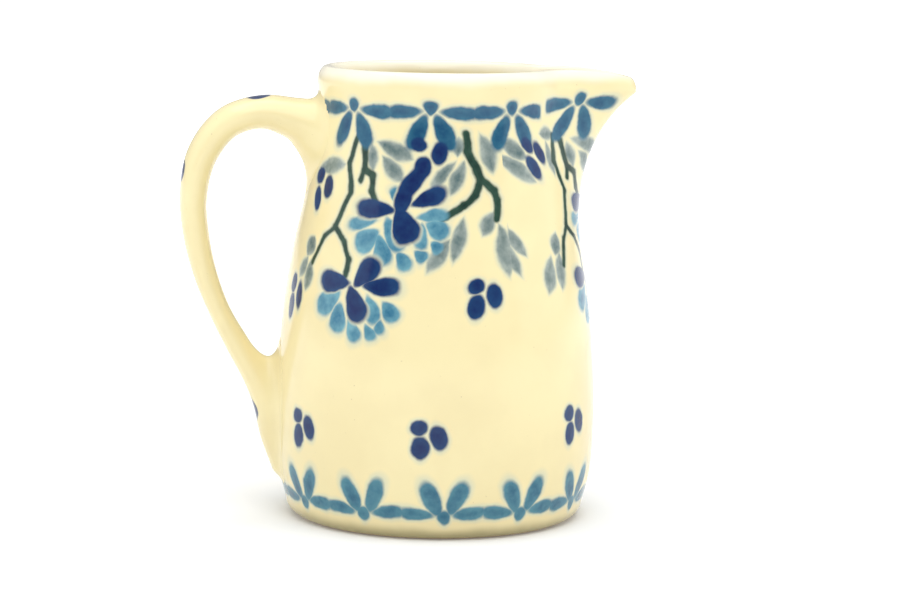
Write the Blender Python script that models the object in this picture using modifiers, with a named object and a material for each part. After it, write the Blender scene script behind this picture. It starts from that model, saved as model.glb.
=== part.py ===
"""A small stoneware cream jug: a turned wall with a spout pulled from its rim, and a strap handle luted to
the wall with clay slip at its upper and lower ends.

The model is in metres, +Z up. It stands on z = 0, its spout points along +X and its handle along -X. The
origin is on the standing plane, midway between the handle's back and the spout's tip, so the turning axis
lies at AXIS_X. Dimensions below are in millimetres from the turning axis and the standing plane.
"""

import math

import bmesh
import bpy
import numpy as np

MM = 0.001

# The jug as a whole
HEIGHT = 90.0
SPOUT_TIP = 39.5
HANDLE_BACK = 51.5
AXIS_X = (HANDLE_BACK - SPOUT_TIP) / 2

# The outside of the turned wall: (height, radius) at the places where its line changes
WALL_LINE = (
    (3.0, 29.9),
    (8.0, 31.2),
    (20.0, 32.0),
    (32.0, 31.6),
    (44.0, 30.5),
    (54.0, 28.9),
    (63.0, 26.9),
    (72.0, 25.0),
    (79.0, 24.0),
    (83.0, 23.9),
    (87.0, 24.3),
)
WALL_TOP = WALL_LINE[-1][0]
HEEL_TOP = WALL_LINE[0][0]
WALL_THICKNESS = 3.8

# The lip is half an ellipse from the outer face of the wall to the inner one
LIP_HEIGHT = HEIGHT - WALL_TOP
LIP_POINTS = 8

# The foot: a flat standing ring round a shallow recess
FOOT_OUTER = 26.7
FOOT_INNER = 24.3
RECESS_RADIUS = 23.4
RECESS_DEPTH = 1.2
FLOOR_TOP = 5.6
FLOOR_RADIUS = 17.0
FLOOR_CORNER_TOP = 15.0

# The spout: how far its tip stands out of the round wall, how low its flare starts, how wide it is each way
SPOUT_REACH = SPOUT_TIP - WALL_LINE[-1][1]
SPOUT_ROOT = 52.0
SPOUT_WIDTH_AT_RIM = math.radians(13.5)
SPOUT_WIDTH_AT_ROOT = math.radians(23.0)
CHANNEL_REACH = SPOUT_REACH + 0.7
CHANNEL_NARROWING = 0.9
TIP_DROOP = 1.7

# How finely the wall is divided: the steps round it are crowded together at the spout, the rings at both ends
STEPS = 64
STEP_CROWDING = 0.62
WALL_RINGS = 20
INNER_RINGS = 12

# The handle's centre line: (distance behind the axis, height, half its thickness)
HANDLE_LINE = (
    (21.5, 78.2, 4.9),
    (28.0, 79.4, 3.8),
    (34.7, 80.6, 3.4),
    (41.7, 78.7, 3.2),
    (46.8, 72.6, 3.1),
    (48.8, 63.5, 2.75),
    (48.2, 56.0, 2.6),
    (46.3, 48.0, 2.35),
    (43.3, 40.4, 2.15),
    (39.6, 33.6, 2.4),
    (36.3, 27.6, 2.5),
    (34.3, 22.0, 2.3),
    (33.3, 16.0, 1.9),
    (31.6, 9.5, 1.0),
)
HANDLE_BREADTH = 1.75
HANDLE_SIDES = 6
HANDLE_SMOOTHNESS = 4

# The slip joints: low pads between the handle's ends and the wall (mid height, half height, half breadth)
UPPER_JOINT = (75.6, 8.6, 8.2)
LOWER_JOINT = (19.5, 12.2, 5.6)
JOINT_THICKNESS = 1.2
CLAY_GAP = 0.3
PAD_SIDES = 40

GLAZE = (0.93, 0.87, 0.70)
SLIP = (0.90, 0.83, 0.66)


def wall_radius(height):
    """The outer radius of the turned wall at a height, on a smooth line through WALL_LINE."""
    levels = [h for h, _ in WALL_LINE]
    radii = [r for _, r in WALL_LINE]
    slopes = np.gradient(radii, levels)
    i = int(np.clip(np.searchsorted(levels, height) - 1, 0, len(levels) - 2))
    span = levels[i + 1] - levels[i]
    t = (height - levels[i]) / span
    rise = t * t * (3 - 2 * t)
    ends = span * (slopes[i] * t * (1 - t) ** 2 - slopes[i + 1] * t * t * (1 - t))
    return radii[i] + (radii[i + 1] - radii[i]) * rise + ends


def heel(outset=0.0):
    """The rounded heel between the wall and the standing ring, top to bottom."""
    across = wall_radius(HEEL_TOP) - FOOT_OUTER
    turns = (math.pi / 2 * i / 4 for i in range(1, 5))
    return [(FOOT_OUTER + across * math.cos(a) + outset, HEEL_TOP * (1 - math.sin(a))) for a in turns]


def heights(first, last, count):
    """Heights from first to last, closer together at both ends than in the middle."""
    even = (i / (count - 1) for i in range(count))
    share = (0.5 * e + 0.25 * (1 - math.cos(math.pi * e)) for e in even)
    return [first + (last - first) * s for s in share]


def wall_side(outset=0.0):
    """The outer face of the wall, top to bottom, as far off the wall as the outset."""
    return [(wall_radius(h) + outset, h) for h in heights(WALL_TOP, HEEL_TOP, WALL_RINGS)]


def inner_wall():
    """The inner face of the wall, bottom to top, from the edge of the floor to the lip."""
    corner_radius = wall_radius(FLOOR_CORNER_TOP) - WALL_THICKNESS
    turns = (math.pi / 2 * i / 5 for i in range(5))
    corner = [
        (
            FLOOR_RADIUS + (corner_radius - FLOOR_RADIUS) * math.sin(a),
            FLOOR_CORNER_TOP - (FLOOR_CORNER_TOP - FLOOR_TOP) * math.cos(a),
        )
        for a in turns
    ]
    side = heights(FLOOR_CORNER_TOP, WALL_TOP, INNER_RINGS)
    return corner + [(wall_radius(h) - WALL_THICKNESS, h) for h in side]


def lip():
    """The lip, from the inner face over to the outer one."""
    middle = wall_radius(WALL_TOP) - WALL_THICKNESS / 2
    turns = (math.pi * i / LIP_POINTS for i in range(1, LIP_POINTS))
    return [(middle - WALL_THICKNESS / 2 * math.cos(a), WALL_TOP + LIP_HEIGHT * math.sin(a)) for a in turns]


def jug_profile():
    """The whole section of the jug: floor, inner wall, lip, outer wall, heel, standing ring and recess."""
    foot = [(FOOT_INNER, 0.0), (RECESS_RADIUS, RECESS_DEPTH), (0.0, RECESS_DEPTH)]
    floor = [(0.0, FLOOR_TOP), (FLOOR_RADIUS * 0.6, FLOOR_TOP)]
    return floor + inner_wall() + lip() + wall_side() + heel() + foot


def turned(name, profile, steps):
    """A mesh turned from a profile in millimetres, given as (radius, height) points."""
    outline = bpy.data.meshes.new(name + "_outline")
    edges = [(i, i + 1) for i in range(len(profile) - 1)]
    outline.from_pydata([(r * MM, 0.0, z * MM) for r, z in profile], edges, [])
    shape = bpy.data.objects.new(name + "_outline", outline)
    bpy.context.scene.collection.objects.link(shape)
    screw = shape.modifiers.new("turn", "SCREW")
    screw.steps = steps
    screw.render_steps = steps
    screw.use_merge_vertices = True
    screw.merge_threshold = 0.00001
    mesh = as_mesh(shape, name)
    bpy.data.meshes.remove(outline)
    return mesh


def as_mesh(shape, name):
    """The evaluated mesh of an object, welded, in place of the object itself."""
    bpy.context.view_layer.update()
    evaluated = shape.evaluated_get(bpy.context.evaluated_depsgraph_get())
    mesh = bpy.data.meshes.new_from_object(evaluated)
    mesh.name = name
    bpy.data.objects.remove(shape)
    work = bmesh.new()
    work.from_mesh(mesh)
    bmesh.ops.remove_doubles(work, verts=work.verts, dist=0.00001)
    bmesh.ops.recalc_face_normals(work, faces=work.faces)
    work.to_mesh(mesh)
    work.free()
    return mesh


def outerness(radius, height):
    """0 on the inner face of the wall, 1 on the outer face, and between the two across the lip."""
    if height < WALL_TOP:
        return float(radius > wall_radius(max(height, HEEL_TOP)) - WALL_THICKNESS / 2)
    inner = wall_radius(WALL_TOP) - WALL_THICKNESS
    return min(max((radius - inner) / WALL_THICKNESS, 0.0), 1.0)


def spout_pull(angle, radius, height):
    """How far a point of the turned wall moves outwards and down when the spout is pulled, in millimetres."""
    rise = min(max((height - SPOUT_ROOT) / (WALL_TOP - SPOUT_ROOT), 0.0), 1.0)
    width = SPOUT_WIDTH_AT_RIM + (SPOUT_WIDTH_AT_ROOT - SPOUT_WIDTH_AT_RIM) * (1 - rise) ** 0.6
    outer = math.exp(-((angle / width) ** 2))
    inner = math.exp(-((angle / (width * CHANNEL_NARROWING)) ** 2))
    share = outerness(radius, height)
    outwards = rise**2 * (share * SPOUT_REACH * outer + (1 - share) * CHANNEL_REACH * inner)
    return outwards, TIP_DROOP * rise**4 * outer**3


def pull_spout(mesh):
    """Crowds the turned wall's steps together at +X and draws the spout out of them."""
    for vertex in mesh.vertices:
        x, y, z = (c / MM for c in vertex.co)
        radius = math.hypot(x, y)
        if radius < 0.01:
            continue
        angle = math.atan2(y, x)
        angle -= STEP_CROWDING * math.sin(angle)
        outwards, down = spout_pull(angle, radius, z)
        reach = radius + outwards
        vertex.co = (reach * math.cos(angle) * MM, reach * math.sin(angle) * MM, (z - down) * MM)


def material(name, colour, roughness):
    """A plain glossy or matt clay finish."""
    made = bpy.data.materials.new(name)
    made.use_nodes = True
    surface = made.node_tree.nodes["Principled BSDF"]
    surface.inputs["Base Color"].default_value = (*colour, 1.0)
    surface.inputs["Roughness"].default_value = roughness
    surface.inputs["Metallic"].default_value = 0.0
    return made


def placed(name, mesh, group, axis, finish=None):
    """An object in a collection, standing on the turning axis, smooth where it is round."""
    shape = bpy.data.objects.new(name, mesh)
    group.objects.link(shape)
    shape.parent = axis
    if finish:
        mesh.materials.clear()
        mesh.materials.append(finish)
        mesh.shade_smooth()
        mesh.set_sharp_from_angle(angle=math.radians(40))
    else:
        shape.hide_render = True
        shape.display_type = "WIRE"
    return shape


def cut(shape, cutter, operation):
    """Cuts a piece with a cutter, or keeps only what lies inside it."""
    boolean = shape.modifiers.new(cutter.name, "BOOLEAN")
    boolean.operation = operation
    boolean.solver = "EXACT"
    boolean.object = cutter


def skin_profile(outset):
    """A solid turned shape whose outside stands clear of the jug's wall by the outset."""
    return [(0.0, WALL_TOP)] + wall_side(outset) + heel(outset) + [(0.0, 0.0)]


def handle_mesh():
    """A round rod along the handle's line, spread sideways into a strap."""
    curve = bpy.data.curves.new("handle_line", "CURVE")
    curve.dimensions = "3D"
    curve.bevel_depth = MM
    curve.bevel_resolution = HANDLE_SIDES
    curve.resolution_u = HANDLE_SMOOTHNESS
    curve.use_fill_caps = True
    spline = curve.splines.new("BEZIER")
    spline.bezier_points.add(len(HANDLE_LINE) - 1)
    for point, (behind, height, half) in zip(spline.bezier_points, HANDLE_LINE):
        point.co = (-behind * MM, 0.0, height * MM)
        point.radius = half
        point.handle_left_type = "AUTO"
        point.handle_right_type = "AUTO"
    rod = bpy.data.objects.new("handle_line", curve)
    bpy.context.scene.collection.objects.link(rod)
    mesh = as_mesh(rod, "handle")
    bpy.data.curves.remove(curve)
    for vertex in mesh.vertices:
        vertex.co.y *= HANDLE_BREADTH
    return mesh


def pad_mesh(name, centre, half_height, half_breadth):
    """An oval bar through the wall behind the axis: the outline of a slip joint."""
    work = bmesh.new()
    length = HANDLE_BACK * MM
    bmesh.ops.create_cone(
        work, cap_ends=True, segments=PAD_SIDES, radius1=MM, radius2=MM, depth=length, calc_uvs=False
    )
    for vertex in work.verts:
        across, up, along = vertex.co
        vertex.co = (along - length / 2 - 10 * MM, across * half_breadth, up * half_height + centre * MM)
    bmesh.ops.recalc_face_normals(work, faces=work.faces)
    mesh = bpy.data.meshes.new(name)
    work.to_mesh(mesh)
    work.free()
    return mesh


def jug_body(parts, axis, finish):
    mesh = turned("jug_body", jug_profile(), STEPS)
    pull_spout(mesh)
    return placed("jug_body", mesh, parts, axis, finish)


def skins(cutters, axis):
    """Turned solids at three distances off the wall: the joints' inside and outside, and the handle's end."""
    clear = CLAY_GAP + JOINT_THICKNESS
    made = {}
    for name, outset in (("joint_back", CLAY_GAP), ("joint_front", clear), ("handle_end", clear + CLAY_GAP)):
        made[name] = placed(name, turned(name, skin_profile(outset), STEPS), cutters, axis)
    return made


def handle(parts, axis, finish, skin):
    strap = placed("handle", handle_mesh(), parts, axis, finish)
    cut(strap, skin["handle_end"], "DIFFERENCE")
    return strap


def slip_joint(name, shape, parts, axis, finish, skin):
    """A pad of slip that follows the wall, as thick as JOINT_THICKNESS."""
    pad = placed(name, pad_mesh(name, *shape), parts, axis, finish)
    cut(pad, skin["joint_front"], "INTERSECT")
    cut(pad, skin["joint_back"], "DIFFERENCE")
    return pad


def main():
    for old in list(bpy.data.objects):
        bpy.data.objects.remove(old, do_unlink=True)
    parts = bpy.data.collections.new("cream_jug")
    cutters = bpy.data.collections.new("cutters")
    for group in (parts, cutters):
        bpy.context.scene.collection.children.link(group)
    axis = bpy.data.objects.new("turning_axis", None)
    axis.location.x = AXIS_X * MM
    parts.objects.link(axis)
    skin = skins(cutters, axis)
    jug_body(parts, axis, material("jug_body_glaze", GLAZE, 0.12))
    handle(parts, axis, material("handle_glaze", GLAZE, 0.12), skin)
    slip_joint("upper_slip_joint", UPPER_JOINT, parts, axis, material("upper_slip", SLIP, 0.2), skin)
    slip_joint("lower_slip_joint", LOWER_JOINT, parts, axis, material("lower_slip", SLIP, 0.2), skin)


main()
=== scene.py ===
"""The looks of the cream jug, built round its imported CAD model.

Lengths are in millimetres from the turning axis and the standing plane. Angles are in degrees round that
axis from the spout (+X), so the handle is at 180. The decoration is painted by nodes, from lists of brush and
stamp marks.
"""

import math

import bpy
import numpy as np
from mathutils import Matrix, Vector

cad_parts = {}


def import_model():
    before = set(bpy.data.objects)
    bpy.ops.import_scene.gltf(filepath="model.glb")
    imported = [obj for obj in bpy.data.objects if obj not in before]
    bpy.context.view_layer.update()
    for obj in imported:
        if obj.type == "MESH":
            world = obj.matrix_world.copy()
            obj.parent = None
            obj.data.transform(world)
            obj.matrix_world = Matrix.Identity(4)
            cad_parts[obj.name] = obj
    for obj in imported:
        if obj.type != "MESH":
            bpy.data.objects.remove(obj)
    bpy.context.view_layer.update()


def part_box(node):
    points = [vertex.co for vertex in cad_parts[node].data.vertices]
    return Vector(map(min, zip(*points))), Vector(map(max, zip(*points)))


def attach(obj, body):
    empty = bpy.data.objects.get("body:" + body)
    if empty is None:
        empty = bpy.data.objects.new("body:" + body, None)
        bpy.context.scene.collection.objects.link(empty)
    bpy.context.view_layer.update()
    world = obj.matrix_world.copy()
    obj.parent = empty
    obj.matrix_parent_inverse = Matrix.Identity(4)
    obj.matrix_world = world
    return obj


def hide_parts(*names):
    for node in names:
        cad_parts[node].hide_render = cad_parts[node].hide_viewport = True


MM = 0.001

# The turned wall, as in the CAD model: (height, outer radius)
WALL_LINE = (
    (3.0, 29.9),
    (8.0, 31.2),
    (20.0, 32.0),
    (32.0, 31.6),
    (44.0, 30.5),
    (54.0, 28.9),
    (63.0, 26.9),
    (72.0, 25.0),
    (79.0, 24.0),
    (83.0, 23.9),
    (87.0, 24.3),
)
WALL_TOP = WALL_LINE[-1][0]
HEEL_TOP = WALL_LINE[0][0]
WALL_THICKNESS = 3.8
LIP_HEIGHT = 3.0
FOOT_OUTER = 26.7
FOOT_INNER = 24.3
RECESS_RADIUS = 23.4
RECESS_DEPTH = 1.2
FLOOR_TOP = 5.6
FLOOR_RADIUS = 17.0
FLOOR_CORNER_TOP = 15.0

# The standing ring and the recess inside it: (radius, height)
RING_LINE = ((FOOT_OUTER, 0.12), (26.2, 0.0), (25.3, 0.0), (24.7, 0.05), (FOOT_INNER, 0.35))
RECESS_LINE = ((24.0, 0.85), (RECESS_RADIUS, RECESS_DEPTH), (22.4, 1.35), (15.0, 1.5), (6.0, 1.55))

# Below this height and outside this radius the clay is bare
BARE_TOP = 0.45
BARE_INNER = 23.9

# The spout, as in the CAD model
SPOUT_REACH = 15.2
SPOUT_ROOT = 52.0
SPOUT_WIDTH_AT_RIM = math.radians(13.5)
SPOUT_WIDTH_AT_ROOT = math.radians(23.0)
SPOUT_WIDENING = 0.6
CHANNEL_REACH = 15.9
CHANNEL_NARROWING = 0.9
TIP_DROOP = 1.7

# How finely the body is divided, and how much of the floor's radius the fan in its middle takes
WALL_RINGS = 96
INNER_RINGS = 48
LIP_RINGS = 14
CORNER_RINGS = 8
FLOOR_RINGS = 4
FAN_SHARE = 0.25
STEPS = 256
STEP_CROWDING = 0.55

# The handle's centre line: (distance behind the axis, height, half its thickness, half its breadth)
HANDLE_LINE = (
    (20.0, 76.6, 6.8, 7.2),
    (24.5, 77.9, 5.5, 6.9),
    (29.0, 79.4, 4.2, 6.4),
    (34.7, 80.6, 3.4, 5.9),
    (41.7, 78.7, 3.2, 5.6),
    (46.8, 72.6, 3.1, 5.3),
    (48.8, 63.5, 2.75, 4.9),
    (48.2, 56.0, 2.6, 4.6),
    (46.3, 48.0, 2.35, 4.3),
    (43.3, 40.4, 2.15, 4.1),
    (39.6, 33.6, 2.4, 4.2),
    (36.3, 27.6, 2.5, 4.3),
    (34.3, 22.0, 2.3, 4.1),
    (33.3, 16.0, 1.9, 3.7),
    (31.6, 9.5, 1.0, 2.6),
)

# How far the slip is smoothed out where the handle meets the wall, as (height, reach): in the handle's
# middle, and at its sides
FILLETS = (
    (5.0, 2.5),
    (15.0, 4.5),
    (24.0, 6.0),
    (31.0, 7.5),
    (45.0, 5.0),
    (62.0, 9.0),
    (74.0, 8.0),
    (82.0, 3.0),
    (88.0, 2.5),
)
SIDE_FILLETS = ((30.0, 4.0), (60.0, 2.2))
SIDE_FALL = 6.0

# The slip ends where it has thinned almost to nothing, at this share of its reach. The skin sinks this far
# into the wall.
SLIP_END = 0.93
SKIN_DEPTH = 1.5

# The grid that the handle's skin is drawn from: its two far corners and its step
HANDLE_LOW = (-53.0, -20.0, 2.0)
HANDLE_HIGH = (-10.0, 20.0, 92.0)
HANDLE_GRAIN = 0.45

# How the skin's points are moved onto the surface: rounds, about the longest move, the least squared slope
# that is divided by, and the distance over which a slope is measured
SETTLING_ROUNDS = 4
LONGEST_MOVE = 0.2
LEAST_SQUARED_SLOPE = 0.3
NUDGE = 0.02

# The least slope that the distance to the strap is divided by
LEAST_STRAP_SLOPE = 0.02


def wall_radius(height):
    """The outer radius of the turned wall at a height or at an array of them."""
    levels, radii = np.array(WALL_LINE).T
    slopes = np.gradient(radii, levels)
    level = np.clip(height, levels[0], levels[-1])
    i = np.clip(np.searchsorted(levels, level) - 1, 0, len(levels) - 2)
    span = levels[i + 1] - levels[i]
    t = (level - levels[i]) / span
    rise = t * t * (3 - 2 * t)
    ends = span * (slopes[i] * t * (1 - t) ** 2 - slopes[i + 1] * t * t * (1 - t))
    return radii[i] + (radii[i + 1] - radii[i]) * rise + ends


def spaced(first, last, count):
    """Values from first to last, closer together at both ends than in the middle."""
    even = np.linspace(0, 1, count)
    return first + (last - first) * (0.5 * even + 0.25 * (1 - np.cos(math.pi * even)))


def arc(first, last, count):
    """Cosines and sines of angles between two angles, the ends left out."""
    turns = np.radians(np.linspace(first, last, count + 2)[1:-1])
    return np.cos(turns), np.sin(turns)


def jug_profile():
    """The section of the jug as (radius, height) rows, from the middle of the floor round to the recess."""
    corner_radius = wall_radius(FLOOR_CORNER_TOP) - WALL_THICKNESS
    cos, sin = arc(0, 90, CORNER_RINGS)
    corner_out = FLOOR_RADIUS + (corner_radius - FLOOR_RADIUS) * sin
    corner_up = FLOOR_CORNER_TOP - (FLOOR_CORNER_TOP - FLOOR_TOP) * cos
    inner = spaced(FLOOR_CORNER_TOP, WALL_TOP, INNER_RINGS)
    middle = wall_radius(WALL_TOP) - WALL_THICKNESS / 2
    lip_cos, lip_sin = arc(180, 0, LIP_RINGS)
    outer = spaced(WALL_TOP, HEEL_TOP, WALL_RINGS)
    heel_cos, heel_sin = arc(0, 90, CORNER_RINGS)
    heel_out = FOOT_OUTER + (wall_radius(HEEL_TOP) - FOOT_OUTER) * heel_cos
    stretches = (
        (FLOOR_RADIUS * np.linspace(FAN_SHARE, 1, FLOOR_RINGS), [FLOOR_TOP] * FLOOR_RINGS),
        (corner_out, corner_up),
        (wall_radius(inner) - WALL_THICKNESS, inner),
        (middle + WALL_THICKNESS / 2 * lip_cos, WALL_TOP + LIP_HEIGHT * lip_sin),
        (wall_radius(outer), outer),
        (heel_out, HEEL_TOP * (1 - heel_sin)),
        zip(*RING_LINE),
        zip(*RECESS_LINE),
    )
    return np.concatenate([np.column_stack(tuple(s)) for s in stretches])


def pull_spout(angle, radius, height):
    """Where the points of the turned wall lie once the spout is drawn out of it: new radii and heights."""
    rise = np.clip((height - SPOUT_ROOT) / (WALL_TOP - SPOUT_ROOT), 0, 1)
    widening = (SPOUT_WIDTH_AT_ROOT - SPOUT_WIDTH_AT_RIM) * (1 - rise) ** SPOUT_WIDENING
    width = SPOUT_WIDTH_AT_RIM + widening
    outer = np.exp(-((angle / width) ** 2))
    inner = np.exp(-((angle / (width * CHANNEL_NARROWING)) ** 2))
    on_lip = (radius - wall_radius(WALL_TOP) + WALL_THICKNESS) / WALL_THICKNESS
    on_wall = radius > wall_radius(height) - WALL_THICKNESS / 2
    share = np.clip(np.where(height < WALL_TOP, on_wall, on_lip), 0, 1)
    outwards = rise**2 * (share * SPOUT_REACH * outer + (1 - share) * CHANNEL_REACH * inner)
    return radius + outwards, height - TIP_DROOP * rise**4 * outer**3


def mesh_from(name, points, faces):
    """A smooth mesh from points in millimetres."""
    mesh = bpy.data.meshes.new(name)
    mesh.from_pydata((points * MM).tolist(), [], faces)
    mesh.shade_smooth()
    mesh.update()
    return mesh


def body_mesh():
    """The whole jug but its handle, as one closed skin: rings round the section, and a fan at each end."""
    profile = jug_profile()
    even = np.linspace(0, 2 * math.pi, STEPS, endpoint=False) - math.pi
    around = even - STEP_CROWDING * np.sin(even)
    angle, radius = np.meshgrid(around, profile[:, 0])
    height = np.repeat(profile[:, 1:], STEPS, axis=1)
    reach, level = pull_spout(angle, radius, height)
    rings = np.stack((reach * np.cos(angle), reach * np.sin(angle), level), axis=-1).reshape(-1, 3)
    ends = [[0.0, 0.0, FLOOR_TOP], [0.0, 0.0, profile[-1, 1]]]
    points = np.concatenate((rings, ends))
    near = np.arange(STEPS)
    beside = (near + 1) % STEPS
    faces = []
    for ring in range(len(profile) - 1):
        low, high = ring * STEPS, (ring + 1) * STEPS
        faces += np.column_stack((low + near, low + beside, high + beside, high + near)).tolist()
    floor, base = len(rings), len(rings) + 1
    last = (len(profile) - 1) * STEPS
    faces += [[floor, int(b), int(n)] for n, b in zip(near, beside)]
    faces += [[base, int(last + n), int(last + b)] for n, b in zip(near, beside)]
    return mesh_from("jug_body_glazed", points, faces)


def handle_samples(count=1200):
    """Close-set places along the handle's line, in rows like its own."""
    line = np.array(HANDLE_LINE)
    chords = np.linalg.norm(np.diff(line[:, :2], axis=0), axis=1)
    along = np.concatenate(([0.0], np.cumsum(chords)))
    slopes = np.gradient(line, along, axis=0)
    at = np.linspace(0, along[-1], count)
    i = np.clip(np.searchsorted(along, at) - 1, 0, len(line) - 2)
    span = (along[i + 1] - along[i])[:, None]
    t = (at[:, None] - along[i][:, None]) / span
    rise = t * t * (3 - 2 * t)
    ends = span * (slopes[i] * t * (1 - t) ** 2 - slopes[i + 1] * t * t * (1 - t))
    return line[i] + (line[i + 1] - line[i]) * rise + ends


def nearest_on_line(behind, height, samples, shares=40):
    """How far points lie from the handle's line, seen from the side, and its half thickness and breadth."""
    flat = np.column_stack((behind.ravel(), height.ravel()))
    rows = []
    for some in np.array_split(flat, shares):  # a share at a time, to save memory
        squared = ((some[:, None] - samples[None, :, :2]) ** 2).sum(-1)
        rows.append(np.argmin(squared, axis=1))
    row = np.concatenate(rows)
    off = np.linalg.norm(flat - samples[row, :2], axis=1)
    return [v.reshape(behind.shape) for v in (off, samples[row, 2], samples[row, 3])]


def handle_field(x, y, z, near):
    """About how far points lie outside the handle and the slip round its ends, below zero inside them."""
    off, half, breadth = near
    reach = np.sqrt((off / half) ** 2 + (y / breadth) ** 2)
    slope = np.sqrt((off / half**2) ** 2 + (y / breadth**2) ** 2)
    strap = reach * (reach - 1) / np.maximum(slope, LEAST_STRAP_SLOPE)
    wall = np.hypot(x, y) - wall_radius(z)
    middle = np.interp(z, *np.array(FILLETS).T)
    side = np.interp(z, *np.array(SIDE_FILLETS).T)
    fillet = side + (middle - side) * np.exp(-((y / SIDE_FALL) ** 2))
    overlap = np.maximum(fillet - np.abs(strap - wall), 0)
    joined = np.minimum(strap, wall) - overlap**2 / (4 * fillet)
    slip_end = 0.5 * (strap - wall - SLIP_END * fillet)
    return np.maximum(np.maximum(joined, -wall - SKIN_DEPTH), slip_end)


def surface_of(field, low, step):
    """Points and four-sided faces of the surface where a field on a grid is zero, a point to a cell."""
    shape = np.array(field.shape) - 1
    total = np.zeros((*shape, 3))
    count = np.zeros(shape)
    crossings = []
    counts = [np.arange(n) for n in field.shape]
    index = np.stack(np.meshgrid(*counts, indexing="ij"), axis=-1).astype(float)
    for axis in range(3):
        start = np.delete(np.arange(3), axis)
        one = np.take(field, range(field.shape[axis] - 1), axis)
        two = np.take(field, range(1, field.shape[axis]), axis)
        crossed = (one < 0) != (two < 0)
        share = np.where(crossed, one / np.where(crossed, one - two, 1.0), 0.0)
        place = np.take(index, range(field.shape[axis] - 1), axis).copy()
        place[..., axis] += share
        place *= crossed[..., None]
        for a in (0, 1):
            for b in (0, 1):
                pick = [slice(None)] * 3
                pick[start[0]] = slice(a, a + shape[start[0]])
                pick[start[1]] = slice(b, b + shape[start[1]])
                total += place[tuple(pick)]
                count += crossed[tuple(pick)]
        crossings.append((crossed, one < 0))
    used = count > 0
    number = np.full(shape, -1)
    number[used] = np.arange(used.sum())
    points = low + step * total[used] / count[used][:, None]
    return points, faces_across(crossings, number)


def faces_across(crossings, number):
    """A four-sided face for each grid line that crosses the surface, joining the cells round it."""
    faces = []
    for axis, (crossed, inside) in enumerate(crossings):
        one, two = np.delete(np.arange(3), axis)
        at = np.argwhere(crossed)
        corners = []
        for a, b in ((1, 1), (0, 1), (0, 0), (1, 0)):
            cell = at.copy()
            cell[:, one] -= a
            cell[:, two] -= b
            corners.append(number[tuple(cell.T)])
        loops = np.column_stack(corners)
        turned = inside[tuple(at.T)] == (axis == 1)
        loops[turned] = loops[turned][:, ::-1]
        faces += loops.tolist()
    return faces


def handle_mesh():
    """The handle and its slip as one closed skin, smoothed into the wall and set a little into it."""
    samples = handle_samples()
    axes = [np.arange(low, high, HANDLE_GRAIN) for low, high in zip(HANDLE_LOW, HANDLE_HIGH)]
    x, y, z = np.meshgrid(*axes, indexing="ij")
    flat = nearest_on_line(-x[:, 0, :], z[:, 0, :], samples)
    near = [np.repeat(v[:, None, :], len(axes[1]), axis=1) for v in flat]
    field = handle_field(x, y, z, near)
    points, faces = surface_of(field, np.array(HANDLE_LOW), HANDLE_GRAIN)
    for _ in range(SETTLING_ROUNDS):
        here, tilt = field_and_slope(points, samples)
        squared = np.maximum((tilt**2).sum(1), LEAST_SQUARED_SLOPE)
        points = points - tilt * np.clip(here / squared, -LONGEST_MOVE, LONGEST_MOVE)[:, None]
    return mesh_from("handle_glazed", points, faces)


def field_and_slope(points, samples):
    """The handle's field at points, and its slope there."""

    def at(move):
        x, y, z = (points + move).T
        return handle_field(x, y, z, nearest_on_line(-x, z, samples))

    here = at(np.zeros(3))
    slopes = [(at(NUDGE * way) - here) / NUDGE for way in np.eye(3)]
    return here, np.column_stack(slopes)


class Nodes:
    """A node tree with short ways to add to it."""

    def __init__(self, tree):
        self.tree = tree

    def add(self, kind, values=(), **settings):
        node = self.tree.nodes.new(kind)
        for name, value in settings.items():
            setattr(node, name, value)
        for socket, value in dict(values).items():
            self.put(node.inputs[socket], value)
        return node

    def put(self, socket, value):
        if isinstance(value, bpy.types.NodeSocket):
            self.tree.links.new(value, socket)
        else:
            socket.default_value = value

    def math(self, operation, *values, clamp=False):
        node = self.add("ShaderNodeMath", enumerate(values), operation=operation, use_clamp=clamp)
        return node.outputs[0]

    def vector(self, operation, *values):
        node = self.add("ShaderNodeVectorMath", enumerate(values), operation=operation)
        return node.outputs["Value" if operation in ("DOT_PRODUCT", "LENGTH", "DISTANCE") else "Vector"]

    def scaled(self, vector, share):
        node = self.add("ShaderNodeVectorMath", {"Vector": vector, "Scale": share}, operation="SCALE")
        return node.outputs["Vector"]

    def combine(self, x=0.0, y=0.0, z=0.0):
        return self.add("ShaderNodeCombineXYZ", {"X": x, "Y": y, "Z": z}).outputs[0]

    def separate(self, vector):
        return self.add("ShaderNodeSeparateXYZ", {0: vector}).outputs

    def fade(self, value, start, end):
        """0 up to start, 1 from end on, smooth between; start may lie above end."""
        values = {"Value": value, "From Min": start, "From Max": end}
        return self.add("ShaderNodeMapRange", values, interpolation_type="SMOOTHSTEP").outputs[0]

    def noise(self, vector, grain, detail=2.0, roughness=0.5):
        """Noise with features of about that many millimetres: (value, colour)."""
        values = {"Vector": vector, "Scale": 1 / grain, "Detail": detail, "Roughness": roughness}
        return self.add("ShaderNodeTexNoise", values).outputs

    def mix(self, share, one, two):
        node = self.add("ShaderNodeMix", data_type="RGBA")
        self.put(node.inputs[0], share)
        self.put(node.inputs[6], one)
        self.put(node.inputs[7], two)
        return node.outputs[2]


def colour(red, green, blue):
    """A linear colour from eight-bit display values."""
    return tuple(((v / 255 + 0.055) / 1.055) ** 2.4 for v in (red, green, blue)) + (1.0,)


GLAZE = colour(244, 231, 181)
# The colour of the glaze's faint clouds, and also of the paler painted shade on the heel
GLAZE_CLOUD_AND_SHADE = colour(224, 206, 156)
# The colour of the painted highlight on the lip
GLAZE_LIP_HIGHLIGHT = colour(252, 248, 232)
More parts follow.
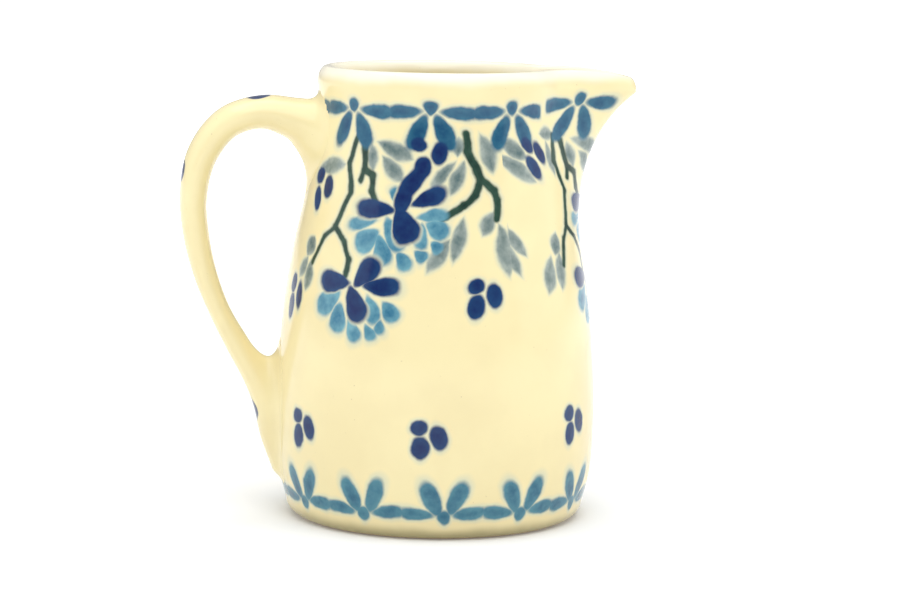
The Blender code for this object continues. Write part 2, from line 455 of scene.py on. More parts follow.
# The colour of the deepest painted shade on the heel
GLAZE_HEEL_SHADE = colour(166, 156, 114)
SPECKS = colour(150, 118, 82)
CLAY = colour(206, 186, 150)
CLAY_DARK = colour(176, 152, 118)
HALO = colour(186, 204, 196)

# How the plain glaze changes: (value where a change starts, where it is whole, its share there, its colour).
# The clouds and specks go by noise, and the others by height.
CLOUDS = (0.35, 0.7, 0.25, GLAZE_CLOUD_AND_SHADE)
# Painted shade on the heel, in two steps, darkening and browning it towards the standing plane where it turns
# under
HEEL_PALE_SHADE = (7.0, 2.5, 0.5, GLAZE_CLOUD_AND_SHADE)
HEEL_DEEP_SHADE = (4.2, 1.6, 0.9, GLAZE_HEEL_SHADE)
# Painted highlight: the lip whitens towards its top
LIP_HIGHLIGHT = (87.6, 90.0, 0.8, GLAZE_LIP_HIGHLIGHT)
SPECKLING = (0.77, 0.83, 0.3, SPECKS)

# The glaze is bluer round a mark, by the distance outside it
HALO_RING = (1.0, 0.0, 0.45, HALO)

# Grains of noise, in millimetres: clouds, the heel's waver and how far that reaches, and specks
CLOUD_GRAIN = 16.0
WAVER_GRAIN = 9.0
WAVER_REACH = 1.6
SPECK_GRAIN = 0.55

# How far the marks' edges stray for the brush, and over what grain
STRAY_GRAIN = 3.4
BODY_STRAY = 1.0
HANDLE_STRAY = 0.7

# How thick the painted colour lies: (grain, detail, share) of its broad pools and of the brush's finer marks,
# and the middle that both vary about
POOLS = (4.5, 3.0, 1.4)
BRUSH = (1.3, 2.0, 0.8)
TONE = 0.25

# A mark's colour fades over this far each side of its outline. It deepens from one distance outside the
# outline to another, which is below zero because it lies inside, and by this share.
EDGE = 0.3
LEAF_EDGE = 0.4
POOL_START = 0.2
POOL_WHOLE = -1.4
POOL_SHARE = 0.45

# The glaze's surface: the grains of its waves, ripples and smears, the ripples' share beside the waves, its
# least roughness, and what the smears add
WAVE_GRAIN = 7.0
RIPPLE_GRAIN = 1.2
SMEAR_GRAIN = 11.0
RIPPLE_SHARE = 0.12
GLAZE_ROUGHNESS = 0.08
SMEAR_ROUGHNESS = 0.05

# The bare clay: the grain of its grit, the noise where it starts to darken and where it is darkest, its least
# roughness, and what the grit adds
GRIT_GRAIN = 0.5
GRIT_START = 0.35
GRIT_END = 0.75
CLAY_ROUGHNESS = 0.7
GRIT_ROUGHNESS = 0.2

# Underglaze colours: (thin, pooled)
PALE_BLUE = (colour(114, 168, 182), colour(38, 104, 138))
RIM_BLUE = (colour(54, 112, 136), colour(12, 70, 108))
FOOT_BLUE = (colour(84, 140, 156), colour(34, 92, 122))
COBALT = (colour(26, 66, 112), colour(2, 32, 88))
STEM_GREEN = (colour(54, 84, 70), colour(18, 46, 40))
LEAF_GREY = (colour(168, 178, 170), colour(82, 106, 108))

# Marks are (across, up, length, width, lean): the blunt end points the way of lean, anticlockwise from right.
# Seen from outside the wall, across runs to the right from the middle of a garland's stretch of wall.
GARLAND_START = -169.0
GARLAND_SPAN = 104.0
GARLANDS = 3

# How the marks' shapes differ from ovals: wider towards the blunt end, and drawn out to points
LEAF_SHAPE = {"taper": 0.15, "pointed": 0.85}
PETAL_SHAPE = {"taper": 0.45}
BOW_SHAPE = {"taper": 0.2}

# How far marks run into each other where they touch, and how far petals stay clear of the flowers' hearts
CURL_BLEND = 0.8
STEM_BLEND = 0.5
PETAL_GAP = 0.2

# Where a mark's point goes to keep it off a stretch of wall
FAR_AWAY = 500.0

# The wall's radius as the garlands are laid out on it: its widest, where that is, how fast it falls away from
# there (by the height squared), and its narrowest
WALL_WIDEST = 32.0
WIDEST_HEIGHT = 20.0
WALL_FALL = 0.0026
WALL_NARROWEST = 23.9

FLOWER_PETALS = (
    # the upper flower
    (-4.9, 61.0, 6.6, 2.5, 192),
    (-3.3, 58.0, 6.0, 4.1, 216),
    (0.1, 56.2, 6.3, 3.4, -68),
    (2.2, 59.2, 7.2, 3.6, -58),
    (4.6, 54.3, 4.3, 2.8, -56),
    (7.9, 55.3, 3.0, 2.5, -38),
    (7.7, 59.0, 5.0, 2.5, -88),
    (10.6, 60.4, 5.2, 3.3, -28),
    (9.6, 62.9, 6.2, 2.5, 6),
    (10.8, 57.2, 2.6, 2.3, -40),
    (1.6, 66.9, 2.8, 1.8, 100),
    # the lower flower
    (-11.3, 45.6, 7.2, 4.0, 215),
    (-8.7, 42.6, 6.1, 3.9, -97),
    (-5.0, 40.4, 4.8, 2.9, -62),
    (-1.0, 44.7, 5.6, 3.1, -69),
    (2.7, 44.6, 4.5, 3.0, -50),
    (-1.3, 40.4, 3.6, 2.4, -56),
    (0.9, 41.5, 3.1, 2.2, -100),
)
FLOWER_HEARTS = (
    # the upper flower
    (-2.2, 63.8, 8.6, 3.7, 180),
    (8.4, 66.2, 7.5, 3.6, 21),
    (4.1, 61.0, 7.8, 5.0, -62),
    # the lower flower
    (-10.2, 49.4, 7.9, 4.1, 180),
    (-2.8, 51.7, 7.5, 4.3, 49),
    (0.6, 49.2, 8.0, 3.6, 0),
    (-4.8, 45.6, 7.5, 4.3, -66),
)
CURLED_PETAL = ((3.4, 65.9, 6.6, 3.2, 78), (4.9, 69.2, 6.8, 3.6, 54), (6.7, 72.0, 4.2, 3.3, 92))
BUDS = ((5.5, 76.3, 3.2, 2.8, 0), (9.6, 74.8, 4.6, 3.4, 90))
LEAVES = (
    (-3.7, 73.4, 5.2, 2.4, 97),
    (1.0, 75.0, 8.2, 2.9, -22),
    (0.8, 71.5, 6.6, 3.0, -46),
    (13.0, 76.0, 3.9, 2.4, 90),
    (10.6, 70.6, 6.4, 2.4, 230),
    (13.6, 70.0, 6.8, 2.8, 254),
    (19.0, 74.8, 8.2, 3.2, -65),
    (11.4, 55.4, 7.3, 3.0, 240),
    (15.0, 58.5, 8.3, 2.9, 261),
    (20.7, 61.5, 4.9, 3.0, 245),
    (24.6, 56.4, 10.6, 3.5, -72),
    (26.8, 58.0, 6.7, 3.2, -61),
)

# The first garland's left end, and the other garlands' left ends, which were stamped differently
FIRST_LEAVES = (
    (-15.2, 71.1, 9.6, 3.2, 10),
    (-18.9, 55.3, 4.4, 3.4, 62),
    (-20.9, 51.1, 5.3, 2.4, 237),
    (-18.5, 49.8, 6.4, 3.0, 258),
)
FIRST_OVALS = (
    (-18.9, 68.9, 3.9, 3.0, 30),
    (-15.1, 67.1, 4.6, 3.1, 85),
    (-18.9, 64.6, 4.8, 3.2, 92),
    (-21.6, 45.5, 5.4, 2.5, 266),
    (-24.9, 47.6, 4.0, 2.8, 250),
    (-25.1, 43.1, 5.4, 3.0, 261),
)
OTHER_LEAVES = (
    (-9.6, 77.9, 4.4, 2.4, 0),
    (-10.3, 73.2, 6.8, 2.2, 268),
    (-20.0, 75.4, 6.6, 3.6, -37),
    (-21.0, 71.7, 9.3, 3.6, -37),
    (-18.0, 56.7, 5.2, 3.0, 240),
    (-22.8, 51.0, 8.0, 3.2, 240),
    (-19.0, 51.5, 7.4, 3.0, 250),
    (-28.9, 58.0, 6.7, 3.2, -61),
    (-31.8, 56.4, 10.6, 3.5, -72),
)
OTHER_OVALS = ((-16.1, 75.9, 3.4, 2.7, -69), (-16.4, 71.6, 5.0, 3.2, -70), (-13.3, 74.3, 5.0, 2.8, -76))

# The other garlands lean to the right as they hang: millimetres a millimetre, from one height down to
# another. The lean is whole up to the garland's middle, and fades out to the right over this far.
LEAN = 0.2
LEAN_TOP = 79.0
LEAN_BOTTOM = 45.0
LEAN_REACH = 20.0

# A trio of berries about its middle, and where the trios are
BERRIES = ((-1.9, 2.0, 3.5, 3.2, 15), (-1.6, -2.0, 4.9, 3.5, 88), (1.9, 0.1, 5.0, 3.5, -72))
BERRY_PLACES = ((21.1, 47.7), (11.3, 20.6))
FIRST_BERRY_PLACE = (-17.6, 20.2)
OTHER_BERRY_PLACE = (-19.5, 21.5)

# The narrow stretch between the last garland and the handle, laid out as the left end of one more garland
LAST_LEAVES = (
    (-21.4, 71.5, 8.0, 3.2, -68),
    (-18.0, 69.5, 6.6, 2.8, 250),
    (-28.9, 58.0, 6.7, 3.2, -61),
    (-31.8, 56.4, 10.6, 3.5, -72),
)
LAST_BERRY_PLACES = ((-28.0, 47.7), (-29.0, 20.6))

# Stems are lines of points with a width
STEMS = (
    (((-7.5, 77.5), (-9.3, 72.2), (-8.3, 66.5), (-11.7, 59.8)), 1.3),
    (((-11.7, 59.8), (-14.4, 57.6), (-17.5, 52.4)), 1.1),
    (((-11.7, 59.8), (-8.7, 57.2), (-7.0, 54.0), (-7.5, 50.8)), 1.3),
    (((-5.7, 76.4), (-5.3, 71.2), (-3.4, 70.0), (-3.3, 67.2), (-2.3, 65.4)), 1.5),
    (((-5.3, 71.2), (-6.3, 69.0)), 1.2),
    (((14.5, 78.6), (14.8, 75.3), (18.3, 69.8)), 1.6),
    (((18.3, 69.8), (17.6, 66.8), (15.6, 65.0), (11.4, 62.3)), 1.5),
    (((18.3, 69.8), (21.3, 67.6), (22.3, 65.7), (22.6, 62.4)), 1.5),
)

# The bows of the bands, about each bow's middle. The wall's radius at RIM_HEIGHT and FOOT_HEIGHT sets their
# scale. The rim's bows are counted from the spout both ways round, so their across runs away from it on the
# wall, and along +X on the spout's own flanks.
RIM_BOWS = 9
RIM_HEIGHT = 83.0
RIM_BOW = (
    (0.3, 83.3, 3.0, 2.7, 90),
    (-2.4, 78.6, 7.4, 3.5, 243),
    (2.8, 78.6, 7.6, 3.4, -66),
    (-5.5, 82.4, 7.8, 2.8, 183),
    (5.8, 82.5, 7.6, 2.8, -3),
)
RIM_BOW_TURN = 2.0
RIM_BAND_END = 165.5

# The breaks in the rim's band beside the spout: degrees from the spout to the middle of one, half its width,
# and how far its ends are rounded, in millimetres
RIM_BREAK = 37.1
RIM_BREAK_HALF = 1.9
ROUNDING = 1.2

# The bow on the spout's flank: where its middle is along X, how that moves with height, and how far it is
# raised and narrowed
SPOUT_BOW_X = 26.7
SPOUT_BOW_SKEW = 0.25
SPOUT_BOW_LIFT = 1.0
FLANK_STRETCH = 1.15

FOOT_BOWS = 12
FOOT_HEIGHT = 7.0
FOOT_BOW_TURN = -1.2
FOOT_BOW = (
    (0.0, 4.8, 3.1, 2.7, 90),
    (-2.3, 8.5, 7.6, 3.4, 114),
    (2.6, 8.7, 7.6, 3.4, 67),
    (-5.3, 5.5, 7.2, 2.7, 176),
    (5.3, 5.6, 7.2, 2.7, 4),
)

# Dots on the outer face of the handle: (distance behind the axis, along +Y, height)
HANDLE_DOTS = ((36.0, -0.6, 84.0), (51.3, -0.5, 69.0), (36.4, -0.5, 21.0))
HANDLE_DOT_RADIUS = 2.4

# A tapered mark is nowhere narrower than this share of its width
NARROWEST = 0.12


def mark_group():
    """A node group: how far a point lies outside one mark, in millimetres, below zero on it."""
    tree = bpy.data.node_groups.new("mark", "ShaderNodeTree")
    for name, kind in (
        ("Point", "NodeSocketVector"),
        ("Centre", "NodeSocketVector"),
        ("Along", "NodeSocketVector"),
        ("Across", "NodeSocketVector"),
        ("Half Width", "NodeSocketFloat"),
        ("Taper", "NodeSocketFloat"),
        ("Pointed", "NodeSocketFloat"),
    ):
        tree.interface.new_socket(name, in_out="INPUT", socket_type=kind)
    tree.interface.new_socket("Distance", in_out="OUTPUT", socket_type="NodeSocketFloat")
    n = Nodes(tree)
    given = n.add("NodeGroupInput").outputs
    offset = n.vector("SUBTRACT", given["Point"], given["Centre"])
    along = n.vector("DOT_PRODUCT", offset, given["Along"])
    across = n.vector("DOT_PRODUCT", offset, given["Across"])
    tapered = n.math("MULTIPLY_ADD", given["Taper"], along, 1.0)
    widening = n.math("MAXIMUM", tapered, NARROWEST)
    side = n.math("ABSOLUTE", n.math("DIVIDE", across, widening))
    oval = n.vector("LENGTH", n.combine(along, side))
    lens = n.math("MULTIPLY_ADD", along, along, side)
    shape = n.math("MULTIPLY_ADD", n.math("SUBTRACT", lens, oval), given["Pointed"], oval)
    found = n.math("MULTIPLY", n.math("SUBTRACT", shape, 1.0), given["Half Width"])
    n.add("NodeGroupOutput", {"Distance": found})
    return tree


def stem_group():
    """A node group: how far a point lies outside one straight stretch of stem, in millimetres."""
    tree = bpy.data.node_groups.new("stem", "ShaderNodeTree")
    for name in ("Point", "Start", "Run", "Share"):
        tree.interface.new_socket(name, in_out="INPUT", socket_type="NodeSocketVector")
    tree.interface.new_socket("Half Width", in_out="INPUT", socket_type="NodeSocketFloat")
    tree.interface.new_socket("Distance", in_out="OUTPUT", socket_type="NodeSocketFloat")
    n = Nodes(tree)
    given = n.add("NodeGroupInput").outputs
    offset = n.vector("SUBTRACT", given["Point"], given["Start"])
    share = n.math("ADD", n.vector("DOT_PRODUCT", offset, given["Share"]), 0.0, clamp=True)
    away = n.vector("LENGTH", n.vector("SUBTRACT", offset, n.scaled(given["Run"], share)))
    n.add("NodeGroupOutput", {"Distance": n.math("SUBTRACT", away, given["Half Width"])})
    return tree


class Painter:
    """Adds marks to a material: every method gives the distance in millimetres outside what it paints."""

    def __init__(self, nodes, mark, stem):
        self.n = nodes
        self.mark_tree = mark
        self.stem_tree = stem

    def mark(self, point, mark, taper=0.0, pointed=0.0):
        across, up, length, width, lean = mark
        cos, sin = math.cos(math.radians(lean)), math.sin(math.radians(lean))
        values = {
            "Point": point,
            "Centre": (across, up, 0.0),
            "Along": (cos * 2 / length, sin * 2 / length, 0.0),
            "Across": (-sin * 2 / width, cos * 2 / width, 0.0),
            "Half Width": width / 2,
            "Taper": taper,
            "Pointed": pointed,
        }
        return self.n.add("ShaderNodeGroup", node_tree=self.mark_tree, values=values).outputs[0]

    def marks(self, point, marks, taper=0.0, pointed=0.0, smooth=0.0):
        return self.union([self.mark(point, m, taper, pointed) for m in marks], smooth)

    def stems(self, point):
        found = []
        for points, width in STEMS:
            for start, end in zip(points, points[1:]):
                run = (end[0] - start[0], end[1] - start[1], 0.0)
                length = math.hypot(*run)
                values = {
                    "Point": point,
                    "Start": (*start, 0.0),
                    "Run": run,
                    "Share": tuple(v / length**2 for v in run),
                    "Half Width": width / 2,
                }
                stem = self.n.add("ShaderNodeGroup", node_tree=self.stem_tree, values=values)
                found.append(stem.outputs[0])
        return self.union(found, STEM_BLEND)

    def union(self, distances, smooth=0.0):
        found = distances[0]
        for other in distances[1:]:
            if smooth:
                found = self.n.math("SMOOTH_MIN", found, other, smooth)
            else:
                found = self.n.math("MINIMUM", found, other)
        return found


def berry_marks(places):
    """The marks of trios of berries at those places."""
    return tuple((x + berry[0], z + berry[1], *berry[2:]) for x, z in places for berry in BERRIES)


def garland_points(n, azimuth, height, wobble):
    """Points on the stretches of wall: for every garland, the first, the others, and the bare stretch."""
    turned = n.math("MODULO", n.math("ADD", azimuth, 360 - GARLAND_START), 360.0)
    number = n.math("FLOOR", n.math("DIVIDE", turned, GARLAND_SPAN))
    within = n.math("SUBTRACT", turned, n.math("MULTIPLY", number, GARLAND_SPAN))
    lift = n.math("SUBTRACT", height, WIDEST_HEIGHT)
    radius = n.math("MULTIPLY_ADD", n.math("MULTIPLY", lift, lift), -WALL_FALL, WALL_WIDEST)
    a_degree = n.math("MULTIPLY", n.math("MAXIMUM", radius, WALL_NARROWEST), math.radians(1))
    across = n.math("MULTIPLY", n.math("SUBTRACT", within, GARLAND_SPAN / 2), a_degree)
    is_later = n.math("GREATER_THAN", number, 0.5)
    drop = n.math("SUBTRACT", LEAN_TOP, n.math("MAXIMUM", height, LEAN_BOTTOM))
    lean = n.math("MULTIPLY", n.math("MULTIPLY", drop, LEAN), n.fade(across, LEAN_REACH, 0.0))
    across = n.math("SUBTRACT", across, n.math("MULTIPLY", lean, is_later))
    hidden = n.math("MULTIPLY", n.math("GREATER_THAN", number, GARLANDS - 0.5), FAR_AWAY)
    later = n.math("MULTIPLY", is_later, FAR_AWAY)
    first = n.math("SUBTRACT", FAR_AWAY, later)
    shown = n.math("ADD", across, hidden)
    last = n.math("ADD", across, n.math("SUBTRACT", FAR_AWAY, hidden))
    places = (shown, n.math("ADD", shown, later), n.math("ADD", shown, first), last)
    return [n.vector("ADD", n.combine(place, height), wobble) for place in places]


def rim_point(n, azimuth, x, height, wobble):
    """Points on the nearest bow of the rim's band, which is laid out alike on both sides of the spout."""
    turn = 360 / RIM_BOWS
    side = n.math("ABSOLUTE", azimuth)
    turned = n.math("ADD", side, RIM_BOW_TURN)
    from_bow = n.math("SUBTRACT", n.math("MODULO", turned, turn), turn / 2)
    on_wall = n.math("MULTIPLY", from_bow, math.radians(wall_radius(RIM_HEIGHT)))
    above = n.math("SUBTRACT", height, RIM_BOW[0][1])
    middle = n.math("MULTIPLY_ADD", above, SPOUT_BOW_SKEW, SPOUT_BOW_X)
    on_flank = n.math("MULTIPLY", n.math("SUBTRACT", x, middle), FLANK_STRETCH)
    flank = n.math("LESS_THAN", turned, turn)
    across = n.math("MULTIPLY_ADD", flank, n.math("SUBTRACT", on_flank, on_wall), on_wall)
    up = n.math("MULTIPLY_ADD", flank, -SPOUT_BOW_LIFT, height)
    hidden = n.math("MULTIPLY", n.math("GREATER_THAN", side, RIM_BAND_END), FAR_AWAY)
    return n.vector("ADD", n.combine(n.math("ADD", across, hidden), up), wobble)


def rim_break(n, azimuth):
    """How far a point lies inside a break in the rim's band, in millimetres, below zero outside them."""
    off = n.math("ABSOLUTE", n.math("SUBTRACT", n.math("ABSOLUTE", azimuth), RIM_BREAK))
    a_degree = math.radians(wall_radius(RIM_HEIGHT))
    return n.math("MULTIPLY", n.math("SUBTRACT", RIM_BREAK_HALF, off), a_degree)


def foot_point(n, azimuth, height, wobble):
    """Points on the nearest bow of the foot's band."""
    turn = 360 / FOOT_BOWS
    turned = n.math("MODULO", n.math("ADD", azimuth, 360 + turn / 2 - FOOT_BOW_TURN), turn)
    a_degree = math.radians(wall_radius(FOOT_HEIGHT))
    across = n.math("MULTIPLY", n.math("SUBTRACT", turned, turn / 2), a_degree)
    return n.vector("ADD", n.combine(across, height), wobble)


def painted(n, ground, distance, tones, tone, edge=EDGE):
    """Lays an underglaze colour over the ground where the distance is below zero, darker where it pooled."""
    cover = n.fade(distance, edge, -edge)
    pooled = n.fade(distance, POOL_START, POOL_WHOLE)
    depth = n.math("ADD", n.math("MULTIPLY", pooled, POOL_SHARE), tone, clamp=True)
    return n.mix(cover, ground, n.mix(depth, *tones))


def veiled(n, ground, value, veil):
    """Lays a colour over the ground as a value goes from the veil's start to its end."""
    start, whole, share, shade = veil
    return n.mix(n.math("MULTIPLY", n.fade(value, start, whole), share), ground, shade)


def glaze_ground(n, point, height):
    """The cream glaze: faint clouding and rare specks, with a painted highlight whitening the lip and painted
    shade darkening the heel.
    """
    ground = veiled(n, GLAZE, n.noise(point, CLOUD_GRAIN, 3.0)[0], CLOUDS)
    waver = n.math("MULTIPLY_ADD", n.noise(point, WAVER_GRAIN)[0], WAVER_REACH, height)
    # Painted shade on the heel and a painted highlight on the lip, both by height
    for veil in (HEEL_PALE_SHADE, HEEL_DEEP_SHADE, LIP_HIGHLIGHT):
        ground = veiled(n, ground, waver, veil)
    return veiled(n, ground, n.noise(point, SPECK_GRAIN, 1.0)[0], SPECKLING)


def brush_tone(n, point):
    """How thick the colour lies: broad pools and the finer grain of the brush."""
    broad, fine = [
        n.math("MULTIPLY", n.math("SUBTRACT", n.noise(point, grain, detail)[0], 0.5), share)
        for grain, detail, share in (POOLS, BRUSH)
    ]
    return n.math("ADD", n.math("ADD", broad, fine), TONE)


def stray(n, point, reach):
    """A small wandering offset, which takes the ruled look off the marks' edges."""
    centred = n.vector("SUBTRACT", n.noise(point, STRAY_GRAIN, 3.0)[1], (0.5, 0.5, 0.5))
    return n.scaled(centred, reach)


def glossy(n, base, point):
    """The fired glaze's surface: smooth and clear, with very slight waves."""
    ripples = n.noise(point, RIPPLE_GRAIN)[0]
    waves = n.math("MULTIPLY_ADD", ripples, RIPPLE_SHARE, n.noise(point, WAVE_GRAIN)[0])
    bump = n.add("ShaderNodeBump", {"Height": waves, "Strength": 0.1, "Distance": 0.0004})
    smears = n.noise(point, SMEAR_GRAIN)[0]
    rough = n.math("MULTIPLY_ADD", smears, SMEAR_ROUGHNESS, GLAZE_ROUGHNESS)
    values = {"Base Color": base, "Roughness": rough, "Normal": bump.outputs[0]}
    surface = n.add("ShaderNodeBsdfPrincipled", values)
    surface.inputs["IOR"].default_value = 1.5
    surface.inputs["Specular IOR Level"].default_value = 0.38
    n.add("ShaderNodeOutputMaterial", {"Surface": surface.outputs[0]})


def new_material(name):
    """A material without nodes, a way to add them, and the point that it colours, in millimetres."""
    material = bpy.data.materials.new(name)
    material.use_nodes = True
    material.node_tree.nodes.clear()
    n = Nodes(material.node_tree)
    place = n.add("ShaderNodeTexCoord").outputs["Object"]
    return material, n, n.scaled(place, 1 / MM)


def garland_marks(p, every, first, others, last):
    """The garlands: their leaves, stems, petals, the dark hearts of their flowers, and buds and berries."""
    leaves = p.union(
        (
            p.marks(every, LEAVES, **LEAF_SHAPE),
            p.marks(first, FIRST_LEAVES, **LEAF_SHAPE),
            p.marks(others, OTHER_LEAVES, **LEAF_SHAPE),
            p.marks(last, LAST_LEAVES, **LEAF_SHAPE),
        )
    )
    stems = p.stems(every)
    curled = p.marks(every, CURLED_PETAL, smooth=CURL_BLEND)
    hearts = p.union((p.marks(every, FLOWER_HEARTS, **PETAL_SHAPE), curled))
    petals = p.marks(every, FLOWER_PETALS, **PETAL_SHAPE)
    petals = p.n.math("MAXIMUM", petals, p.n.math("SUBTRACT", PETAL_GAP, hearts))
    ovals = p.union(
        (
            p.marks(every, BUDS + berry_marks(BERRY_PLACES)),
            p.marks(first, FIRST_OVALS + berry_marks([FIRST_BERRY_PLACE])),
            p.marks(others, OTHER_OVALS + berry_marks([OTHER_BERRY_PLACE])),
            p.marks(last, berry_marks(LAST_BERRY_PLACES)),
        )
    )
    return leaves, stems, petals, hearts, ovals


def body_glaze(mark, stem):
    """The glaze on the outside of the body, with all of its decoration."""
    material, n, point = new_material("body_glaze")
    x, y, z = n.separate(point)
    azimuth = n.math("MULTIPLY", n.math("ARCTAN2", y, x), 180 / math.pi)
    wobble = n.vector("MULTIPLY", stray(n, point, BODY_STRAY), (1.0, 1.0, 0.0))
    places = garland_points(n, azimuth, z, wobble)
    rim = rim_point(n, azimuth, x, z, wobble)
    foot = foot_point(n, azimuth, z, wobble)

    p = Painter(n, mark, stem)
    leaves, stems, petals, hearts, ovals = garland_marks(p, *places)
    rim_bows = p.marks(rim, RIM_BOW, **BOW_SHAPE)
    rim_band = n.math("SMOOTH_MAX", rim_bows, rim_break(n, azimuth), ROUNDING)
    foot_band = p.marks(foot, FOOT_BOW, **BOW_SHAPE)

    tone = brush_tone(n, point)
    anything = p.union((leaves, stems, petals, hearts, ovals, rim_band, foot_band))
    base = veiled(n, glaze_ground(n, point, z), anything, HALO_RING)
    base = painted(n, base, leaves, LEAF_GREY, tone, LEAF_EDGE)
    base = painted(n, base, stems, STEM_GREEN, tone)
    base = painted(n, base, petals, PALE_BLUE, tone)
    base = painted(n, base, rim_band, RIM_BLUE, tone)
    base = painted(n, base, foot_band, FOOT_BLUE, tone)
    base = painted(n, base, n.math("MINIMUM", hearts, ovals), COBALT, tone)
    glossy(n, base, point)
    return material


def inner_glaze():
    """The plain glaze inside the jug and over its lip."""
    material, n, point = new_material("inner_glaze")
    glossy(n, glaze_ground(n, point, n.separate(point)[2]), point)
    return material


def handle_glaze():
    """The handle's glaze with three cobalt dots on its outer face."""
    material, n, point = new_material("handle_glaze")
    strayed = n.vector("ADD", point, stray(n, point, HANDLE_STRAY))
    middles = [(-behind, aside, height) for behind, aside, height in HANDLE_DOTS]
    dots = [n.vector("DISTANCE", strayed, middle) for middle in middles]
    nearest = n.math("MINIMUM", n.math("MINIMUM", dots[0], dots[1]), dots[2])
    distance = n.math("SUBTRACT", nearest, HANDLE_DOT_RADIUS)
    ground = glaze_ground(n, point, n.separate(point)[2])
    base = painted(n, ground, distance, COBALT, brush_tone(n, point))
    glossy(n, base, point)
    return material


def bare_clay():
    """The unglazed standing ring."""
    material, n, point = new_material("bare_clay")
    grit = n.noise(point, GRIT_GRAIN, 4.0, 0.65)[0]
    base = n.mix(n.fade(grit, GRIT_START, GRIT_END), CLAY, CLAY_DARK)
    bump = n.add("ShaderNodeBump", {"Height": grit, "Strength": 0.5, "Distance": 0.0001})
    rough = n.math("MULTIPLY_ADD", grit, GRIT_ROUGHNESS, CLAY_ROUGHNESS)
    values = {"Base Color": base, "Roughness": rough, "Normal": bump.outputs[0]}
    surface = n.add("ShaderNodeBsdfPrincipled", values)
    n.add("ShaderNodeOutputMaterial", {"Surface": surface.outputs[0]})
    return material


def placed(name, mesh, axis_x, *materials):
    """An object standing on the turning axis, so that its own coordinates are measured from it."""
    piece = bpy.data.objects.new(name, mesh)
    bpy.context.scene.collection.objects.link(piece)
    piece.location = (axis_x, 0.0, 0.0)
    for material in materials:
        mesh.materials.append(material)
    return piece


def share_out_materials(mesh):
    """Gives the inside and half the lip the mesh's second material, and the standing ring its third."""
    inside = FLOOR_RINGS + CORNER_RINGS + INNER_RINGS + LIP_RINGS // 2
    floor_fan = len(mesh.polygons) // STEPS - 2
    for face in mesh.polygons:
        x, y, z = face.center
        ring = face.index // STEPS
        if ring < inside or ring == floor_fan:
            face.material_index = 1
        elif z < BARE_TOP * MM and math.hypot(x, y) > BARE_INNER * MM:
            face.material_index = 2


# The camera, from where the turning axis meets the standing plane: millimetres, degrees, and its lens
CAMERA_AWAY = 601.6
CAMERA_HEIGHT = 125.3
CAMERA_ASIDE = 2.7
CAMERA_SWING = 5.0
CAMERA_PITCH = 7.78
CAMERA_ROLL = 0.89
CAMERA_LENS = 120.8


def camera(axis_x):
    """The camera, which looks down a little at the jug's side."""
    data = bpy.data.cameras.new("camera")
    data.lens = CAMERA_LENS
    data.sensor_width = 36.0
    data.clip_start = 0.01
    shape = bpy.data.objects.new("camera", data)
    bpy.context.scene.collection.objects.link(shape)
    swing = Matrix.Rotation(math.radians(-CAMERA_SWING), 4, "Z")
    away = Matrix.Translation((CAMERA_ASIDE * MM, -CAMERA_AWAY * MM, CAMERA_HEIGHT * MM))
    pitch = Matrix.Rotation(math.radians(90 - CAMERA_PITCH), 4, "X")
    roll = Matrix.Rotation(math.radians(CAMERA_ROLL), 4, "Z")
    shape.matrix_world = Matrix.Translation((axis_x, 0, 0)) @ swing @ away @ pitch @ roll
    bpy.context.scene.camera = shape


# The studio, in metres
STUDIO_RADIUS = 6.0
STUDIO_STEPS = 96
FLOOR_GAP = 0.00002
BACKDROP_BOTTOM = -0.01
BACKDROP_TOP = 8.0

# How the studio glows: from this distance to that one, from this strength to that one
FLOOR_GLOW = (0.12, 0.6, 0.1, 0.7)
BACKDROP_GLOW = (0.0, 1.0, 1.0, 1.0)
TENT_STRENGTH = 0.4

# The soft boxes: (name, place, what it faces, breadth, watts)
SOFT_BOXES = (
    ("overhead", (0.0, 0.1, 1.2), (0.0, 0.0, 0.0), 1.2, 9.5),
    ("front", (0.0, -0.6, 0.8), (0.0, 0.0, 0.05), 0.6, 2.6),
    ("left", (-0.9, -0.1, 0.5), (0.0, 0.0, 0.05), 1.0, 2.3),
    ("right", (0.9, -0.1, 0.5), (0.0, 0.0, 0.05), 1.0, 2.7),
)


def plain_white(name, start, end, near, far):
    """A matt white that glows, from near to far between two distances from its middle, so it never greys."""
    material = bpy.data.materials.new(name)
    material.use_nodes = True
    n = Nodes(material.node_tree)
    away = n.vector("LENGTH", n.add("ShaderNodeTexCoord").outputs["Object"])
    glow = {"Value": away, "From Min": start, "From Max": end, "To Min": near, "To Max": far}
    surface = material.node_tree.nodes["Principled BSDF"]
    n.put(surface.inputs["Base Color"], (0.9, 0.9, 0.9, 1.0))
    n.put(surface.inputs["Roughness"], 0.7)
    n.put(surface.inputs["Specular IOR Level"], 0.0)
    n.put(surface.inputs["Emission Color"], (1.0, 1.0, 1.0, 1.0))
    n.put(surface.inputs["Emission Strength"], n.add("ShaderNodeMapRange", glow).outputs[0])
    return material


def studio_ring(height):
    """Points on the edge of the studio at a height, in metres."""
    turns = [math.tau * i / STUDIO_STEPS for i in range(STUDIO_STEPS)]
    return [(STUDIO_RADIUS * math.cos(t), STUDIO_RADIUS * math.sin(t), height) for t in turns]


def floor():
    """A wide white disc to stand on."""
    mesh = bpy.data.meshes.new("floor")
    mesh.from_pydata(studio_ring(0.0), [], [list(range(STUDIO_STEPS))])
    mesh.materials.append(plain_white("floor_white", *FLOOR_GLOW))
    shape = bpy.data.objects.new("floor", mesh)
    bpy.context.scene.collection.objects.link(shape)
    shape.location.z = -FLOOR_GAP


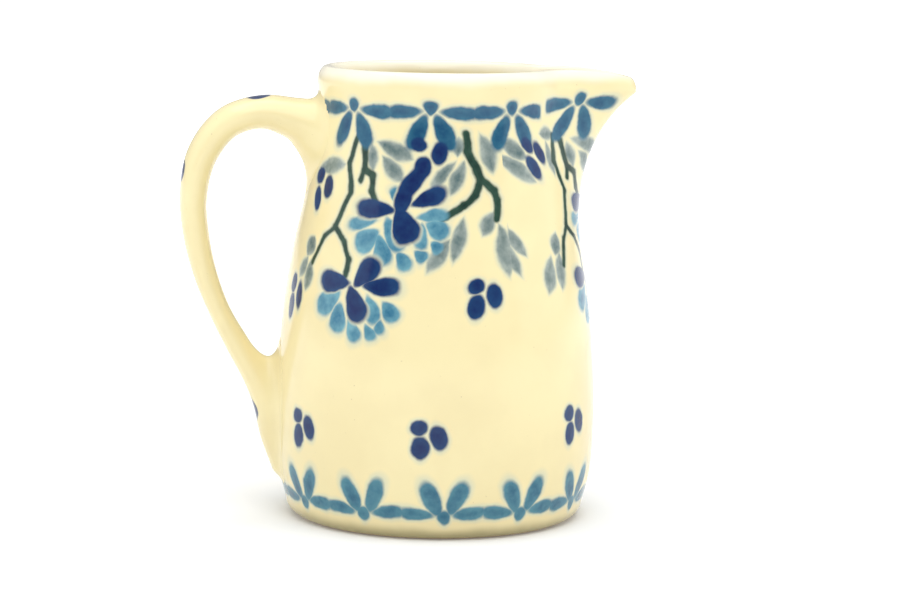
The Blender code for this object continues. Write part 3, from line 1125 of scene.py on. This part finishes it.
def backdrop():
    """A white wall all round, well away, that only the camera sees."""
    mesh = bpy.data.meshes.new("backdrop")
    points = studio_ring(BACKDROP_BOTTOM) + studio_ring(BACKDROP_TOP)
    here = range(STUDIO_STEPS)
    beside = [(i + 1) % STUDIO_STEPS for i in here]
    faces = [(i, j, STUDIO_STEPS + j, STUDIO_STEPS + i) for i, j in zip(here, beside)]
    mesh.from_pydata(points, [], faces)
    mesh.materials.append(plain_white("backdrop_white", *BACKDROP_GLOW))
    shape = bpy.data.objects.new("backdrop", mesh)
    bpy.context.scene.collection.objects.link(shape)
    shape.visible_diffuse = False
    shape.visible_glossy = False
    shape.visible_shadow = False


def soft_light(name, place, aim, size, power):
    """A square soft box at a place, facing another, in metres and watts."""
    data = bpy.data.lights.new(name, "AREA")
    data.size = size
    data.energy = power
    light = bpy.data.objects.new(name, data)
    bpy.context.scene.collection.objects.link(light)
    here = Matrix.Translation(place)
    there = Matrix.Translation(aim).to_translation() - here.to_translation()
    light.matrix_world = here @ there.to_track_quat("-Z", "Y").to_matrix().to_4x4()


def lights():
    """Soft boxes in a white tent."""
    world = bpy.data.worlds.new("tent")
    bpy.context.scene.world = world
    world.use_nodes = True
    background = world.node_tree.nodes["Background"]
    background.inputs["Color"].default_value = (1.0, 1.0, 1.0, 1.0)
    background.inputs["Strength"].default_value = TENT_STRENGTH
    for box in SOFT_BOXES:
        soft_light(*box)
    bpy.context.scene.view_settings.view_transform = "Standard"


def main():
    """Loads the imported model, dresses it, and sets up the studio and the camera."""
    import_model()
    low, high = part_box("jug_body")
    axis_x = low.x + (high.y - low.y) / 2

    mark, stem = mark_group(), stem_group()
    glazes = (body_glaze(mark, stem), inner_glaze(), bare_clay())
    body = placed("jug_body_glazed", body_mesh(), axis_x, *glazes)
    share_out_materials(body.data)
    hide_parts("jug_body")
    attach(body, "root")

    strap = placed("handle_glazed", handle_mesh(), axis_x, handle_glaze())
    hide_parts("handle", "upper_slip_joint", "lower_slip_joint")
    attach(strap, "root")

    floor()
    backdrop()
    lights()
    camera(axis_x)


main()
